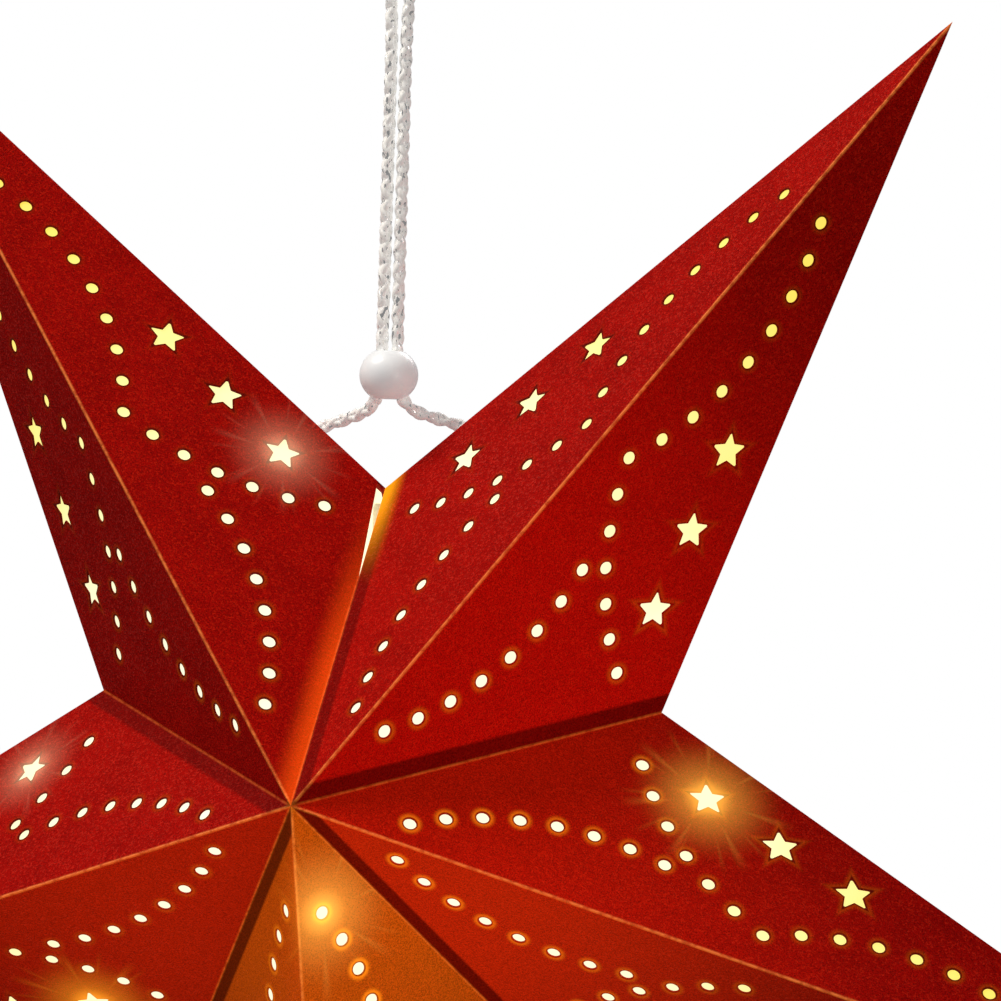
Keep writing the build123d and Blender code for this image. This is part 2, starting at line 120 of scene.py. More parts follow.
# Turn, rise and roll in radians, distance and aim in metres, lens and sensor in millimetres
camera = {
    "turn": 0.2958, "rise": -0.003, "roll": 0.0306, "distance": 2.0,
    "aim": Vector((0.0395, 0, -0.22395)), "lens": 221.05, "sensor": 36, "sees": 50,
}
back = Vector((
    math.cos(camera["rise"]) * math.sin(camera["turn"]),
    -math.cos(camera["rise"]) * math.cos(camera["turn"]),
    math.sin(camera["rise"]),
))
viewData = bpy.data.cameras.new("viewCamera")
viewData.sensor_width = camera["sensor"]
viewData.lens = camera["lens"]
viewData.clip_end = camera["sees"]
viewCamera = bpy.data.objects.new("viewCamera", viewData)
bpy.context.collection.objects.link(viewCamera)
viewCamera.location = camera["aim"] + back * camera["distance"]
viewCamera.rotation_mode = "QUATERNION"
viewCamera.rotation_quaternion = Quaternion(back, camera["roll"]) @ (-back).to_track_quat("-Z", "Y")
bpy.context.scene.camera = viewCamera
bpy.context.scene.view_settings.view_transform = "Standard"
print("camera placed")

# Metres, and for each light its place, size, power in watts and colour
studio = {
    "floorDrop": 2.2, "floorSize": 60, "paper": "#F4F4F2", "floorGlow": 1.1, "surround": 0.13,
    "lights": {
        "keyLight": ((-0.95, -0.46, 1.4), 0.9, 35, "#FFF8F0"),
        "fillLight": ((1.65, -1.3, -0.32), 0.9, 9, "#FFF4EC"),
        "backLight": ((0.5, 1.9, 1.2), 1.2, 18, "#FFFFFF"),
    },
}


def addFloor():
    sheet = bmesh.new()
    bmesh.ops.create_grid(sheet, x_segments=1, y_segments=1, size=studio["floorSize"] / 2)
    bmesh.ops.translate(sheet, vec=(0, 0, cadBox[0][2] - studio["floorDrop"]), verts=sheet.verts)
    mesh = bpy.data.meshes.new("studioFloor")
    sheet.to_mesh(mesh)
    sheet.free()
    floor = bpy.data.objects.new("studioFloor", mesh)
    bpy.context.collection.objects.link(floor)
    # Uncoated studio paper: matt and even, bright enough to go to plain white
    material, tree, shader, place = newMaterial("whitePaperFloor")
    fill(tree, shader, {
        "Base Color": colour(studio["paper"]), "Roughness": 0.9,
        "Emission Color": colour("#FFFFFF"), "Emission Strength": studio["floorGlow"],
    })
    mesh.materials.append(material)
    floor.visible_diffuse = False  # the white floor would light the star from below
    floor.visible_glossy = False


def addLight(name, place, size, power, code):
    data = bpy.data.lights.new(name, "AREA")
    data.shape = "SQUARE"
    data.size = size
    data.energy = power
    data.color = colour(code)[:3]
    light = bpy.data.objects.new(name, data)
    bpy.context.collection.objects.link(light)
    light.location = place
    light.rotation_mode = "QUATERNION"
    light.rotation_quaternion = (star["middle"] - Vector(place)).to_track_quat("-Z", "Y")
    light.visible_camera = False


addFloor()
for name, setup in studio["lights"].items():
    addLight(name, *setup)

# The surround is white to the eye and dim as a light
world = bpy.data.worlds.new("studioWorld")
world.use_nodes = True
bpy.context.scene.world = world
sky = world.node_tree
sky.nodes.clear()
whole = add(sky, "Background", {"Color": (1, 1, 1, 1), "Strength": 1.0})
dim = add(sky, "Background", {"Color": (1, 1, 1, 1), "Strength": studio["surround"]})
seen = add(sky, "LightPath")
both = add(sky, "MixShader", (seen.outputs["Is Camera Ray"], dim, whole))
add(sky, "OutputWorld", {"Surface": both})
print("floor and lights set")

# Round cord of two yarns braided each way. Metres, with the route's points in millimetres.
# The yarn's film and fibre are the pattern sizes in millimetres.
cordSettings = {
    "diameter": 0.0046, "yarnsEachWay": 2, "yarnRadius": 0.00118, "lift": 0.00022,
    "pitch": 0.0140, "pointSpacing": 0.0006, "length": 0.4773, "lineSteps": 48, "yarnRoundness": 3,
    "route": [
        (-29.66, 6.08, -205.06), (-26.82, 10.1, -201.64), (-19.62, 11.58, -199.2), (-3, 0.3, -194.4),
        (-2.5, 0, -173), (-2.5, 0, -104), (-2.5, 0, -58), (-8.8, 0, -12), (-8.8, 0, 2.3),
        (8.8, 0, 2.3), (8.8, 0, -12), (2.5, 0, -58), (2.5, 0, -104), (2.5, 0, -173),
        (3, 0.3, -194.4), (19.62, 11.58, -199.2), (26.82, 10.1, -201.64), (29.66, 6.08, -205.06),
    ],
    "yarn": {
        "film": 1.111, "fibre": 0.6667, "stretch": (1.0, 1.0, 0.45), "whites": ("#E6E4DC", "#FBFAF7"),
        # the film's two colours: a painted dark reflection and a painted highlight
        "filmPaintedDark": "#26282A", "filmPaintedGlint": "#FFFFFF", "filmMetal": 0.7, "roughness": 0.62,
        "filmRoughness": 0.25, "sheen": 0.2, "lightThrough": 0.22, "relief": 0.0003,
    },
}


def cordLine():
    # the smooth line that the route's points pull, as closely spaced points
    curve = bpy.data.curves.new("cordRoute", "CURVE")
    curve.dimensions = "3D"
    curve.resolution_u = cordSettings["lineSteps"]
    spline = curve.splines.new("NURBS")
    spline.points.add(len(cordSettings["route"]) - 1)
    for point, place in zip(spline.points, cordSettings["route"]):
        point.co = (*[value / 1000 for value in place], 1)
    spline.order_u = 3
    spline.use_endpoint_u = True
    holder = bpy.data.objects.new("cordRoute", curve)
    mesh = bpy.data.meshes.new_from_object(holder)
    points = [vertex.co.copy() for vertex in mesh.vertices]
    bpy.data.objects.remove(holder)
    return points


def respace(points, spacing):
    # the same line with evenly spaced points, and its length
    lengths = [0.0]
    for first, second in zip(points, points[1:]):
        lengths.append(lengths[-1] + (second - first).length)
    count = round(lengths[-1] / spacing)
    spaced, number = [], 0
    for step in range(count + 1):
        wanted = lengths[-1] * step / count
        while number < len(points) - 2 and lengths[number + 1] < wanted:
            number += 1
        span = lengths[number + 1] - lengths[number]
        part = (wanted - lengths[number]) / span if span else 0
        spaced.append(points[number].lerp(points[number + 1], part))
    return spaced, lengths[-1]


def carriedSides(points):
    # a side direction at each point, carried along without twist
    ways = [(second - first).normalized() for first, second in zip(points, points[1:])]
    ways.append(ways[-1])
    side = Vector((0, 1, 0)).cross(ways[0]).normalized()
    sides = []
    for way in ways:
        side = (side - way * side.dot(way)).normalized()
        sides.append((side, way.cross(side)))
    return sides


def makeCord():
    points, length = respace(cordLine(), cordSettings["pointSpacing"])
    sides = carriedSides(points)
    yarns = cordSettings["yarnsEachWay"]
    middle = cordSettings["diameter"] / 2 - cordSettings["yarnRadius"] - cordSettings["lift"]
    curve = bpy.data.curves.new("braidedCord", "CURVE")
    curve.dimensions = "3D"
    curve.bevel_depth = cordSettings["yarnRadius"]
    curve.bevel_resolution = cordSettings["yarnRoundness"]
    curve.use_fill_caps = True
    spacing = length / (len(points) - 1)
    for way in (1, -1):
        for yarn in range(yarns):
            spline = curve.splines.new("POLY")
            spline.points.add(len(points) - 1)
            for number, (point, (side, other)) in enumerate(zip(points, sides)):
                along = number * spacing / cordSettings["pitch"]
                turn = 2 * math.pi * (way * along + yarn / yarns)
                over = way * math.cos(2 * math.pi * along * yarns)
                reach = middle + cordSettings["lift"] * over
                place = point + side * math.cos(turn) * reach + other * math.sin(turn) * reach
                spline.points[number].co = (*place, 1)
    holder = bpy.data.objects.new("braidHolder", curve)
    mesh = bpy.data.meshes.new_from_object(holder)
    bpy.data.objects.remove(holder)
    mesh.name = "braidedCord"
    cord = bpy.data.objects.new("braidedCord", mesh)
    bpy.context.collection.objects.link(cord)
    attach(cord, "star")
    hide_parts("hanging_cord")
    print("cord made, metres long:", round(length, 4))
    return cord


# Polyester yarn, spun and braided with metallised film: the yarn is matt white and a little see-through.
# The film patches carry a painted highlight, plain white, and a painted dark reflection, nearly black.
# Film is about 1 mm wide. Real fibres are too fine to show, so they are drawn 0.7 mm apart.
def braidYarn():
    look = cordSettings["yarn"]
    material, tree, shader, place = newMaterial("spunPolyesterWithFilm")
    stretched = add(tree, "Mapping", {"Vector": place, "Scale": look["stretch"]})
    patches = add(tree, "TexNoise", {"Vector": stretched, "Scale": scaleFor(look["film"]), "Detail": 1.0})
    fine = add(tree, "TexNoise", {"Vector": stretched, "Scale": scaleFor(look["fibre"]), "Detail": 3.0})
    tone = add(tree, "MapRange", (fine, 0.35, 0.65, 0.0, 1.0), **smooth)
    low, high = look["whites"]
    body = add(tree, "Mix", {0: tone, 6: colour(low), 7: colour(high)}, **inColour)
    # dark is a painted dark reflection and bright a painted highlight on the film patches
    dark = add(tree, "MapRange", (patches, 0.36, 0.34, 0.0, 1.0), **smooth)
    bright = add(tree, "MapRange", (patches, 0.66, 0.69, 0.0, 1.0), **smooth)
    body = add(tree, "Mix", {0: dark, 6: body, 7: colour(look["filmPaintedDark"])}, **inColour)
    body = add(tree, "Mix", {0: bright, 6: body, 7: colour(look["filmPaintedGlint"])}, **inColour)
    film = add(tree, "Math", (dark, bright), operation="MAXIMUM")
    rough = add(tree, "MapRange", (film, 0.0, 1.0, look["roughness"], look["filmRoughness"]), **smooth)
    fill(tree, shader, {
        "Base Color": body, "Roughness": rough,
        "Metallic": add(tree, "Math", (film, look["filmMetal"]), operation="MULTIPLY"),
        "Sheen Weight": look["sheen"], "Emission Color": colour("#FFFFFF"),
        "Emission Strength": look["lightThrough"],  # light passes through the white yarn
        "Normal": add(tree, "Bump", {"Height": fine, "Distance": look["relief"], "Strength": 0.6}),
    })
    return material


braidedCord = makeCord()
yarn = braidYarn()
braidedCord.data.materials.clear()
braidedCord.data.materials.append(yarn)
wear(yarn, "cord_end_knots")

# A panel's punched holes, folds and finish. Places and widths are in metres, from the middle of the star
# up the ridge and across to the valley. Mica, grit, mottle and foldWear are pattern sizes in millimetres.
panelSettings = {
    "dotRadius": 0.0021, "starTip": 0.0066, "starNotch": 0.0031,
    "rows": [
        ((0.2506, 0.0112), (0.2020, 0.0242), (0.1536, 0.0130), 9),
        ((0.1536, 0.0130), (0.1223, 0.0338), (0.1009, 0.0623), 7),
        ((0.1174, 0.0268), (0.0756, 0.0262), (0.0371, 0.0089), 8),
    ],
    "stars": ((0.1774, 0.0403), (0.1507, 0.04905), (0.1240, 0.0578)),
    "mica": 0.7143, "grit": 0.4545, "mottle": 16.67, "foldWear": 2.381,
    "board": ("#A60602", "#B80A04"), "glint": "#D8220E", "pit": "#5E0303",
    "ridgeRub": (0.0002, 0.0011), "ridgePale": "#E87A44",
    "valleyRub": (0.0001, 0.0008), "valleyPale": "#D8452C",
    "tabEdge": (0.0051, 0.0066), "tabShade": "#3A0202",
    # crushed and crushedShade: painted shade in the crumpled middle; the next pair darkens a thin rim round
    # each hole
    "crushed": (0.0012, 0.0034), "crushedShade": "#2A0602",
    "darkHoleRim": (0.0002, 0.0009), "darkHoleRimColour": "#3B0A04",
    "haloReach": (0.0004, 0.003), "haloStart": (0.0002, 0.0007), "haloAlong": (0.05, 0.16),
    "haloTip": 0.2, "haloColour": "#F08A12", "leakColour": "#FF8A28",
    "gloss": 0.06, "glossTint": "#FF8A6A", "roughness": 0.74, "glintRoughness": 0.42, "relief": 0.00022,
}
# One lamp glow: soft light round a core, with broad and thin rays. The reaches are in metres.
glowSettings = {
    "broadRays": 3.5, "broadSharpness": 40.0, "thinRays": 5.5, "thinSharpness": 60.0, "thinStrength": 0.7,
    "softFall": 1.6, "softStrength": 0.6, "rayStart": 0.003, "rayReach": 1.1, "rayStrength": 0.42,
    "core": (0.002, 0.0095), "coreStrength": 0.55,
}


def arcPlaces(first, middle, last, count):
    # places spread evenly on the arc through three points
    (ax, ay), (bx, by), (cx, cy) = first, middle, last
    spread = 2 * (ax * (by - cy) + bx * (cy - ay) + cx * (ay - by))
    squares = [x * x + y * y for x, y in (first, middle, last)]
    ox = (squares[0] * (by - cy) + squares[1] * (cy - ay) + squares[2] * (ay - by)) / spread
    oy = (squares[0] * (cx - bx) + squares[1] * (ax - cx) + squares[2] * (bx - ax)) / spread
    radius = math.hypot(ax - ox, ay - oy)
    start = math.atan2(ay - oy, ax - ox)
    turn = (math.atan2(cy - oy, cx - ox) - start + math.pi) % (2 * math.pi) - math.pi
    angles = [start + turn * number / (count - 1) for number in range(count)]
    return [(ox + radius * math.cos(angle), oy + radius * math.sin(angle)) for angle in angles]


def panelFrame(armAngle, side, face):
    # turns the star's place into the panel's own: X up the ridge, Y towards the valley
    apex = radial(armAngle, 0, face * star["halfDepth"])
    ridge = (radial(armAngle, star["tipRadius"]) - apex).normalized()
    valley = radial(armAngle + side * star["ridgeToValley"], star["valleyRadius"]) - apex
    across = (valley - ridge * valley.dot(ridge)).normalized()
    turn = Matrix((ridge, across, ridge.cross(across))).transposed()
    return apex, turn.to_euler(), math.atan2(valley.dot(across), valley.dot(ridge))


def starOutlineGap(tree, flat, x, y):
    # gap to the outline of one punched star: each straight side runs from a tip to a notch
    spot = add(tree, "VectorMath", (flat, (-x, -y, 0)), operation="ADD")
    reach = add(tree, "VectorMath", (spot,), operation="LENGTH")
    parts = add(tree, "SeparateXYZ", (spot,))
    turn = add(tree, "Math", (parts.outputs["Y"], parts.outputs["X"]), operation="ARCTAN2")
    turn = add(tree, "Math", (turn, math.pi), operation="ADD")
    fromTip = add(tree, "Math", (turn, math.pi / 5), operation="PINGPONG")
    tip, notch = panelSettings["starTip"], panelSettings["starNotch"]
    side = Vector((tip - notch * math.cos(math.pi / 5), -notch * math.sin(math.pi / 5))).normalized()
    alongTip = add(tree, "Math", (fromTip,), operation="COSINE")
    alongTip = add(tree, "Math", (reach, alongTip), operation="MULTIPLY")
    alongTip = add(tree, "Math", (alongTip, tip), operation="SUBTRACT")
    besideTip = add(tree, "Math", (fromTip,), operation="SINE")
    besideTip = add(tree, "Math", (reach, besideTip), operation="MULTIPLY")
    alongTip = add(tree, "Math", (alongTip, -side.y), operation="MULTIPLY")
    besideTip = add(tree, "Math", (besideTip, side.x), operation="MULTIPLY")
    return add(tree, "Math", (alongTip, besideTip), operation="ADD")


def holeGapOn(tree, flat):
    # gap to the rim of the nearest punched dot or star
    nearest = 1.0
    for *arc, count in panelSettings["rows"]:
        for x, y in arcPlaces(*arc, count):
            away = add(tree, "VectorMath", (flat, (x, y, 0)), operation="DISTANCE")
            nearest = add(tree, "Math", (nearest, away), operation="MINIMUM")
    dotGap = add(tree, "Math", (nearest, panelSettings["dotRadius"]), operation="SUBTRACT")
    starGap = 1.0
    for x, y in panelSettings["stars"]:
        starGap = add(tree, "Math", (starGap, starOutlineGap(tree, flat, x, y)), operation="MINIMUM")
    return add(tree, "Math", (dotGap, starGap), operation="MINIMUM")


def lampGlow(tree, flat, x, y, radius, strength):
    # how strongly one lamp lights the card round a place on it
    look = glowSettings
    spot = add(tree, "VectorMath", (flat, (-x, -y, 0)), operation="ADD")
    away = add(tree, "VectorMath", (spot,), operation="LENGTH")
    parts = add(tree, "SeparateXYZ", (spot,))
    turn = add(tree, "Math", (parts.outputs["Y"], parts.outputs["X"]), operation="ARCTAN2")
    rays = []
    for count, sharpness in ((look["broadRays"], look["broadSharpness"]),
                             (look["thinRays"], look["thinSharpness"])):
        wave = add(tree, "Math", (turn, count), operation="MULTIPLY")
        wave = add(tree, "Math", (add(tree, "Math", (wave,), operation="COSINE"),), operation="ABSOLUTE")
        rays.append(add(tree, "Math", (wave, sharpness), operation="POWER"))
    rays[1] = add(tree, "Math", (rays[1], look["thinStrength"]), operation="MULTIPLY")
    rays = add(tree, "Math", rays, operation="MAXIMUM")
    soft = add(tree, "MapRange", (away, 0.0, radius, 1.0, 0.0), **smooth)
    soft = add(tree, "Math", (soft, look["softFall"]), operation="POWER")
    soft = add(tree, "Math", (soft, look["softStrength"]), operation="MULTIPLY")
    rayEnd = radius * look["rayReach"]
    streak = add(tree, "MapRange", (away, look["rayStart"], rayEnd, look["rayStrength"], 0.0), **smooth)
    streak = add(tree, "Math", (streak, rays), operation="MULTIPLY")
    core = add(tree, "MapRange", (away, *look["core"], look["coreStrength"], 0.0), **smooth)
    glow = add(tree, "Math", (core, add(tree, "Math", (soft, streak), operation="MAXIMUM")), operation="ADD")
    return add(tree, "Math", (glow, strength), operation="MULTIPLY")


# Red glitter card, dyed board with mica in a matt coat, die-cut and scored: deep matt red with fine bright
# specks, paler along its rubbed folds. Thin card lets lamplight soak through. Real mica is about 0.2 mm,
# too fine to show, so it is drawn 0.7 mm.
def cardPanel(name, armAngle, side, face, glows, spill, soak, tab):
    look = panelSettings
    material, tree, shader, place = newMaterial(name)
    apex, euler, valleyTurn = panelFrame(armAngle, side, face)
    own = add(tree, "Mapping", {"Vector": place, "Location": apex, "Rotation": euler}, vector_type="TEXTURE")
    flat = add(tree, "VectorMath", (own, (1, 1, 0)), operation="MULTIPLY")
    outward = add(tree, "VectorMath", (flat,), operation="LENGTH")
    axes = add(tree, "SeparateXYZ", (own,))
    along, across = axes.outputs["X"], axes.outputs["Y"]
    alongPart = add(tree, "Math", (along, math.sin(valleyTurn)), operation="MULTIPLY")
    acrossPart = add(tree, "Math", (across, math.cos(valleyTurn)), operation="MULTIPLY")
    valleyGap = add(tree, "Math", (alongPart, acrossPart), operation="SUBTRACT")
    valleyGap = add(tree, "Math", (valleyGap,), operation="ABSOLUTE")
    holeGap = holeGapOn(tree, flat)

    # the dyed board with its mottle and dark pits, and mica specks that are partly their own paler colour
    # and partly a painted glint
    specks = add(tree, "TexVoronoi", {"Vector": place, "Scale": scaleFor(look["mica"])}, feature="F1")
    grit = add(tree, "TexNoise", {"Vector": place, "Scale": scaleFor(look["grit"]), "Detail": 2.0,
                                  "Roughness": 0.7})
    mottle = add(tree, "TexNoise", {"Vector": place, "Scale": scaleFor(look["mottle"]), "Detail": 4.0,
                                    "Roughness": 0.6})
    tone = add(tree, "MapRange", (mottle, 0.3, 0.7, 0.0, 1.0), **smooth)
    deep, pale = look["board"]
    body = add(tree, "Mix", {0: tone, 6: colour(deep), 7: colour(pale)}, **inColour)
    speckShade = add(tree, "SeparateColor", {"Color": specks.outputs["Color"]})
    glint = add(tree, "MapRange", (speckShade, 0.5, 1.0, 0.0, 0.6), **smooth)
    pit = add(tree, "MapRange", (grit, 0.36, 0.54, 0.75, 0.0), **smooth)

    # folds rubbed to pale broken lines, strong on the ridge and faint in the valley
    broken = add(tree, "TexNoise", {"Vector": place, "Scale": scaleFor(look["foldWear"]), "Detail": 3.0})
    rub = add(tree, "MapRange", (across, *look["ridgeRub"], 1.0, 0.0), **smooth)
    rubBreak = add(tree, "MapRange", (broken, 0.35, 0.6, 0.4, 0.95), **smooth)
    rub = add(tree, "Math", (rub, rubBreak), operation="MULTIPLY")
    fold = add(tree, "MapRange", (valleyGap, *look["valleyRub"], 1.0, 0.0), **smooth)
    foldBreak = add(tree, "MapRange", (broken, 0.35, 0.6, 0.3, 0.7), **smooth)
    fold = add(tree, "Math", (fold, foldBreak), operation="MULTIPLY")
    layers = [(glint, look["glint"]), (pit, look["pit"]),
              (rub, look["ridgePale"]), (fold, look["valleyPale"])]
    if tab:
        # painted shade over the glued tab under this edge, where the double card
        # keeps light from soaking through
        strip = add(tree, "MapRange", (valleyGap, *look["tabEdge"], 1.0, 0.0), **smooth)
        layers.append((add(tree, "Math", (strip, 0.5), operation="MULTIPLY"), look["tabShade"]))
    # painted shade in the crumpled pit at the middle of the star,
    # and a thin dark rim painted round each hole
    layers.append((add(tree, "MapRange", (outward, *look["crushed"], 0.8, 0.0), **smooth),
                   look["crushedShade"]))
    layers.append((add(tree, "MapRange", (holeGap, *look["darkHoleRim"], 0.7, 0.0), **smooth),
                   look["darkHoleRimColour"]))
    for factor, code in layers:
        body = add(tree, "Mix", {0: factor, 6: body, 7: colour(code)}, **inColour)

    # light that soaks through the card: a halo round the holes, and more beside the lamps
    halo = add(tree, "MapRange", (holeGap, *look["haloReach"], 1.0, 0.0), **smooth)
    halo = add(tree, "Math", (halo, 2.0), operation="POWER")
    haloStart = add(tree, "MapRange", (holeGap, *look["haloStart"], 0.0, 1.0), **smooth)
    halo = add(tree, "Math", (halo, haloStart), operation="MULTIPLY")
    tipHalo = soak["halo"] * look["haloTip"]
    haloFall = add(tree, "MapRange", (along, *look["haloAlong"], soak["halo"], tipHalo), **smooth)
    halo = add(tree, "Math", (halo, haloFall), operation="MULTIPLY")
    light = add(tree, "Mix", {0: halo, 6: colour("#000000"), 7: colour(look["haloColour"])}, **inColour)
    reach = add(tree, "MapRange", (outward, soak["from"], soak["to"], soak["strength"], 0.0), **smooth)
    grain = add(tree, "MapRange", (grit, 0.3, 0.68, 0.62, 1.3), **smooth)
    reach = add(tree, "Math", (reach, grain), operation="MULTIPLY")
    if tab:
        shut = add(tree, "Math", (strip, 0.8), operation="MULTIPLY")
        reach = add(tree, "Math", (reach, add(tree, "Math", (1.0, shut), operation="SUBTRACT")),
                    operation="MULTIPLY")
    leak = add(tree, "Math", (rub, fold), operation="MAXIMUM")
    leak = add(tree, "Math", (leak, soak["leak"]), operation="MULTIPLY")
    lamplight = [(reach, soak["colour"]), (leak, look["leakColour"])]
    for (x, y), radius, strength, code in glows:
        lamplight.append((lampGlow(tree, flat, x, y, radius, strength), code))
    if spill:
        near = add(tree, "MapRange", (valleyGap, 0.0, spill["width"], spill["strength"], 0.0), **smooth)
        near = add(tree, "Math", (near, spill["fall"]), operation="POWER")
        stretch = add(tree, "MapRange", (along, spill["from"], spill["to"], spill["inner"], 1.0), **smooth)
        near = add(tree, "Math", (near, stretch), operation="MULTIPLY")
        lamplight.append((near, spill["colour"]))
    for factor, code in lamplight:
        light = add(tree, "Mix", {0: factor, 6: light, 7: colour(code)}, **addedLight)

    rough = add(tree, "MapRange", (glint, 0.0, 0.5, look["roughness"], look["glintRoughness"]), **smooth)
    height = add(tree, "Math", (grit, 0.5), operation="MULTIPLY")
    height = add(tree, "Math", (specks.outputs["Distance"], height), operation="ADD")
    fill(tree, shader, {
        "Base Color": body, "Roughness": rough, "Emission Color": light, "Emission Strength": 1.0,
        "Specular IOR Level": look["gloss"], "Specular Tint": colour(look["glossTint"]),
        "Normal": add(tree, "Bump", {"Height": height, "Distance": look["relief"], "Strength": 0.55}),
    })
    return material


# Lamps that stand close behind a panel, by arm and side: place on it, reach, strength, colour
innerStar = panelSettings["stars"][2]
lampGlows = {
    ("upper_left", -1): [(innerStar, 0.024, 0.45, "#FFC498")],
    ("left", -1): [(innerStar, 0.024, 0.45, "#FFC498")],
    ("lower_right", 1): [(innerStar, 0.028, 0.8, "#FFBC48")],
    ("left", 1): [(innerStar, 0.028, 0.75, "#FFA828")],
    ("bottom", -1): [((0.037, -0.012), 0.03, 0.45, "#FFB030")],
    ("bottom", 1): [((0.0371, 0.0089), 0.030, 0.8, "#FFC050")],
}
# Lamplight that soaks through a whole panel, strongest where a lamp lies close to the card
cardSoak = {
    ("upper_right", 1): {
        "strength": 0.03, "colour": "#FF1A06", "from": 0.05, "to": 0.2, "halo": 0.1, "leak": 0.22},
    ("upper_right", -1): {
        "strength": 0.21, "colour": "#FF1406", "from": 0.1, "to": 0.26, "halo": 0.2, "leak": 0.22},
    ("lower_right", 1): {
        "strength": 0.16, "colour": "#FF2A06", "from": 0.08, "to": 0.22, "halo": 0.5, "leak": 0.2},
    ("lower_right", -1): {
        "strength": 0.34, "colour": "#FF380A", "from": 0.06, "to": 0.24, "halo": 0.5, "leak": 0.3},
    ("left", 1): {
        "strength": 0.25, "colour": "#FF3408", "from": 0.08, "to": 0.24, "halo": 0.12, "leak": 0.3},
    ("bottom", -1): {
        "strength": 0.32, "colour": "#FF6C0A", "from": 0.05, "to": 0.2, "halo": 0.3, "leak": 0.2},
    ("bottom", 1): {
        "strength": 0.4, "colour": "#F0700C", "from": 0.05, "to": 0.2, "halo": 0.8, "leak": 0.2},
    "elsewhere": {
        "strength": 0.02, "colour": "#FF1A06", "from": 0.05, "to": 0.2, "halo": 0.1, "leak": 0.2},
}
# Lamplight on the card beside the open seam, and along the fold below it
seamSpill = {
    ("upper_right", 1): {
        "width": 0.01, "strength": 1.3, "fall": 1.3, "from": 0.07, "to": 0.112, "inner": 0.0,
        "colour": "#FFA80C"},
    ("upper_left", -1): {
        "width": 0.01, "strength": 0.6, "fall": 1.3, "from": 0.105, "to": 0.035, "inner": 0.0,
        "colour": "#FF5A0C"},
}
for arm, armAngle in star["armAngles"].items():
    for side, sideName in ((1, "left"), (-1, "right")):
        for face, faceName in ((-1, "front"), (1, "back")):
            front = face < 0
            label = arm.title().replace("_", "") + sideName.title() + faceName.title()
            tab = side < 0  # each panel is glued to its neighbour's tab, except at the open seam
            if front and arm in ("upper_left", "upper_right"):
                tab = arm == "upper_right"
            card = cardPanel(
                "redGlitterCard" + label, armAngle, side, face,
                lampGlows.get((arm, side), []) if front else [],
                seamSpill.get((arm, side)) if front else None,
                cardSoak.get((arm, side), cardSoak["elsewhere"]) if front else cardSoak["elsewhere"], tab)
            wear(card, arm + "_point_" + faceName + "_" + sideName + "_panel")
print("card panels done")

# The pattern sizes are in millimetres. A stop is a share of the star's radius and a colour.
tissueSettings = {
    "cloud": 22.22, "cloudDrift": 0.05, "fibre": 1.4286, "paper": "#8E8468", "roughness": 0.9,
    "brightness": 1.06, "relief": 0.0001,
    "stops": ((0.0, "#FFFFF2"), (0.36, "#FFF8CC"), (0.5, "#FFEC8E"), (0.68, "#FADF55"), (1.0, "#E6C02A")),
}


# Bleached tissue paper with lamps behind it: white hot near the middle, lemon yellow at the tips, with a
# faint web of long fibres
def litTissue():
    look = tissueSettings
    material, tree, shader, place = newMaterial("litTissuePaper")
    away = add(tree, "VectorMath", (place, star["middle"]), operation="DISTANCE")
    cloud = add(tree, "TexNoise", {"Vector": place, "Scale": scaleFor(look["cloud"]), "Detail": 3.0})
    drift = add(tree, "Math", (cloud, 0.5), operation="SUBTRACT")
    drift = add(tree, "Math", (drift, look["cloudDrift"]), operation="MULTIPLY")
    away = add(tree, "Math", (away, drift), operation="ADD")
    share = add(tree, "Math", (away, star["tipRadius"]), operation="DIVIDE")
    light = add(tree, "ValToRGB", {"Fac": share})
    while len(light.color_ramp.elements) < len(look["stops"]):
        light.color_ramp.elements.new(1)
    for element, (stop, code) in zip(light.color_ramp.elements, look["stops"]):
        element.position = stop
        element.color = colour(code)
    fibres = add(tree, "TexNoise", {"Vector": place, "Scale": scaleFor(look["fibre"]), "Detail": 4.0})
    fill(tree, shader, {
        "Base Color": colour(look["paper"]), "Roughness": look["roughness"],
        "Emission Color": light, "Emission Strength": look["brightness"],
        "Normal": add(tree, "Bump", {"Height": fibres, "Distance": look["relief"], "Strength": 0.5}),
    })
    return material


wear(litTissue(), *[arm + "_point_tissue_lining" for arm in star["armAngles"]])
print("tissue done")

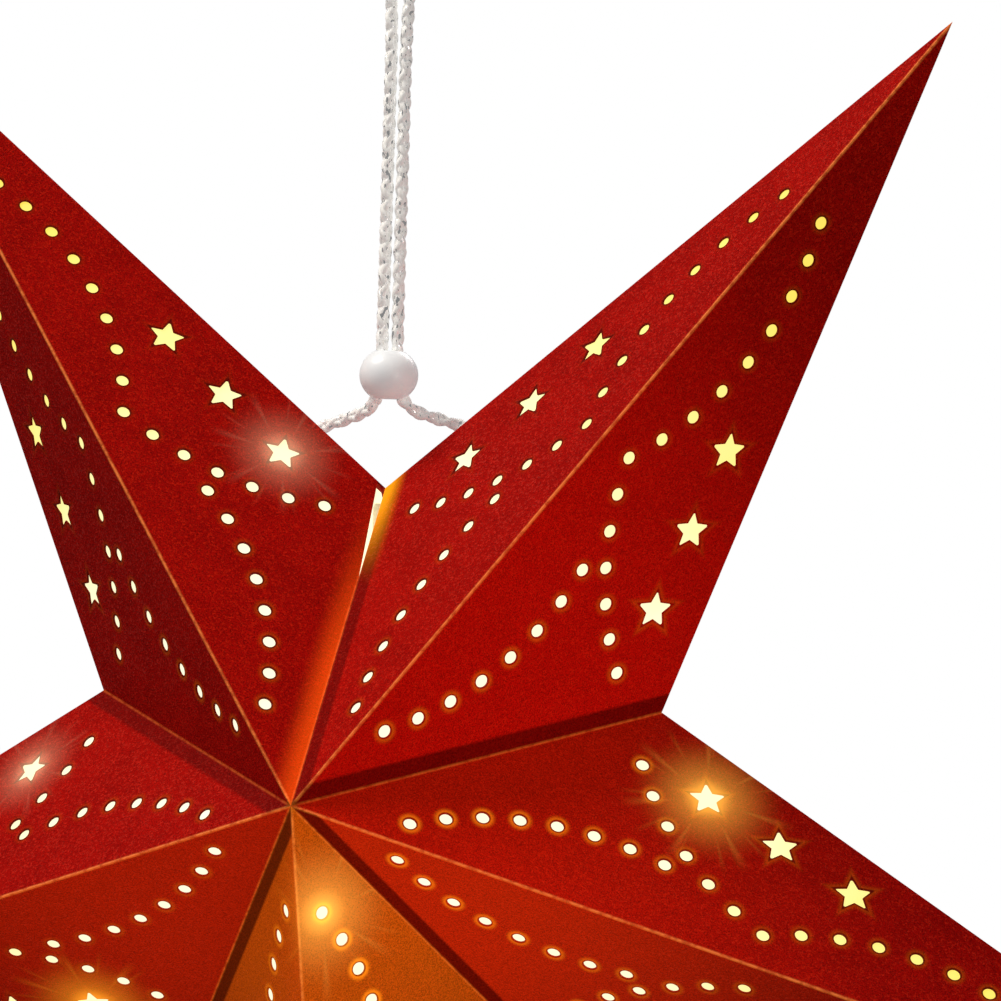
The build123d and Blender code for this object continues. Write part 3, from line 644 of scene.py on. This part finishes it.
# Two tones and a fine relief for each small part. The grain is the pattern size in millimetres. It is drawn
# coarser than real mould, brush and paper marks, which are too fine to show. The relief is in metres.
smallFinishes = {
    # Acrylic, moulded and tumbled: bright white, slightly soft in the highlights, lit through by the lamps
    "mouldedAcrylicBead": {
        "tones": ("#EFF2F4", "#E6EAED"), "grain": 7.143, "roughness": 0.34, "coat": 0.1, "relief": 0.00003,
        "glow": ("#FFFFFF", 0.2), "nodes": ["cord_bead"]},
    # Brass sheet, pressed and rolled: yellow metal with tight reflections
    "brassEyelet": {
        "tones": ("#C7A04C", "#B58C3A"), "grain": 1.111, "roughness": 0.24, "metallic": 1.0,
        "nodes": ["cord_eyelets"]},
    # Dyed board, die-cut, without glitter: flat deep red
    "redCardTabs": {
        "tones": ("#A80C07", "#8C0805"), "grain": 1.111, "roughness": 0.72, "relief": 0.0002,
        "nodes": ["front_valley_glue_tabs", "back_valley_glue_tabs", "back_ridge_glue_tabs",
                  "seam_closing_tabs"]},
    # Nylon hook tape, woven and cut: stiff white bristle, lit from behind
    "nylonHooks": {
        "tones": ("#F0EEE8", "#C8C5BC"), "grain": 0.3846, "roughness": 0.6, "relief": 0.0004,
        "glow": ("#FFE6A0", 0.5), "nodes": ["seam_hook_fasteners"]},
    # Nylon loop tape, brushed: soft white fuzz, lit from behind
    "nylonLoops": {
        "tones": ("#F4F2EE", "#D8D5CD"), "grain": 0.5556, "roughness": 0.85, "relief": 0.0004,
        "glow": ("#FFE6A0", 0.5), "nodes": ["seam_loop_fasteners"]},
    # ABS, injection moulded with a fine spark texture: satin off-white
    "mouldedAbs": {
        "tones": ("#F0F0EC", "#E6E6E1"), "grain": 0.8333, "roughness": 0.42,
        "nodes": ["battery_box_base", "battery_box_lid"]},
    # Acetal, moulded: dense black with a waxy shine
    "blackAcetal": {
        "tones": ("#1C1D1F", "#26272A"), "grain": 1.111, "roughness": 0.38, "nodes": ["switch_slider"]},
    # Glass-fibre board under green solder mask: glassy green with a faint weave
    "solderMaskBoard": {
        "tones": ("#1E6B3A", "#185A30"), "grain": 2.0, "roughness": 0.35, "nodes": ["switch_board"]},
    # Printed film shrunk on steel cans: smooth dark grey with metal beneath
    "cellJacket": {
        "tones": ("#3A4148", "#30363C"), "grain": 2.5, "roughness": 0.22, "metallic": 0.3,
        "nodes": ["battery_cells"]},
    # Nickel-plated spring steel: bright, slightly warm grey metal
    "nickelPlate": {
        "tones": ("#C9C6BE", "#B7B3A8"), "grain": 1.25, "roughness": 0.26, "metallic": 1.0,
        "nodes": ["battery_contact_plates", "battery_contact_springs"]},
    # PVC, extruded over copper: milky, with a soft shine
    "clearPvcWire": {
        "tones": ("#E8E2D2", "#D9D2BF"), "grain": 3.333, "roughness": 0.3,
        "nodes": ["light_wire", "wire_gland"]},
    # Epoxy, cast round the lamp: clear lens, warm white when lit
    "epoxyLampLens": {
        "tones": ("#FFF6DC", "#FFF0C4"), "grain": 3.333, "roughness": 0.1, "coat": 0.4,
        "glow": ("#FFE9A8", 2.5), "nodes": ["light_bulbs"]},
    # Nylon, moulded: off-white with a dull shine
    "nylonClip": {
        "tones": ("#ECEBE6", "#DEDCD4"), "grain": 1.4286, "roughness": 0.45, "nodes": ["wire_clips"]},
}
for name, finish in smallFinishes.items():
    material, tree, shader, place = newMaterial(name)
    grain = add(tree, "TexNoise", {"Vector": place, "Scale": scaleFor(finish["grain"]), "Detail": 4.0,
                                   "Roughness": 0.6})
    tone = add(tree, "MapRange", (grain, 0.35, 0.65, 0.0, 1.0), **smooth)
    first, second = finish["tones"]
    rough = finish["roughness"]
    relief = finish.get("relief", 0.0001)
    glowColour, glowStrength = finish.get("glow", ("#FFFFFF", 0.0))
    fill(tree, shader, {
        "Base Color": add(tree, "Mix", {0: tone, 6: colour(first), 7: colour(second)}, **inColour),
        "Roughness": add(tree, "MapRange", (tone, 0.0, 1.0, rough, rough + 0.08), **smooth),
        "Metallic": finish.get("metallic", 0.0), "Coat Weight": finish.get("coat", 0.0),
        "Emission Color": colour(glowColour), "Emission Strength": glowStrength,
        "Normal": add(tree, "Bump", {"Height": grain, "Distance": relief, "Strength": 0.4}),
    })
    wear(material, *finish["nodes"])
print("small parts done")
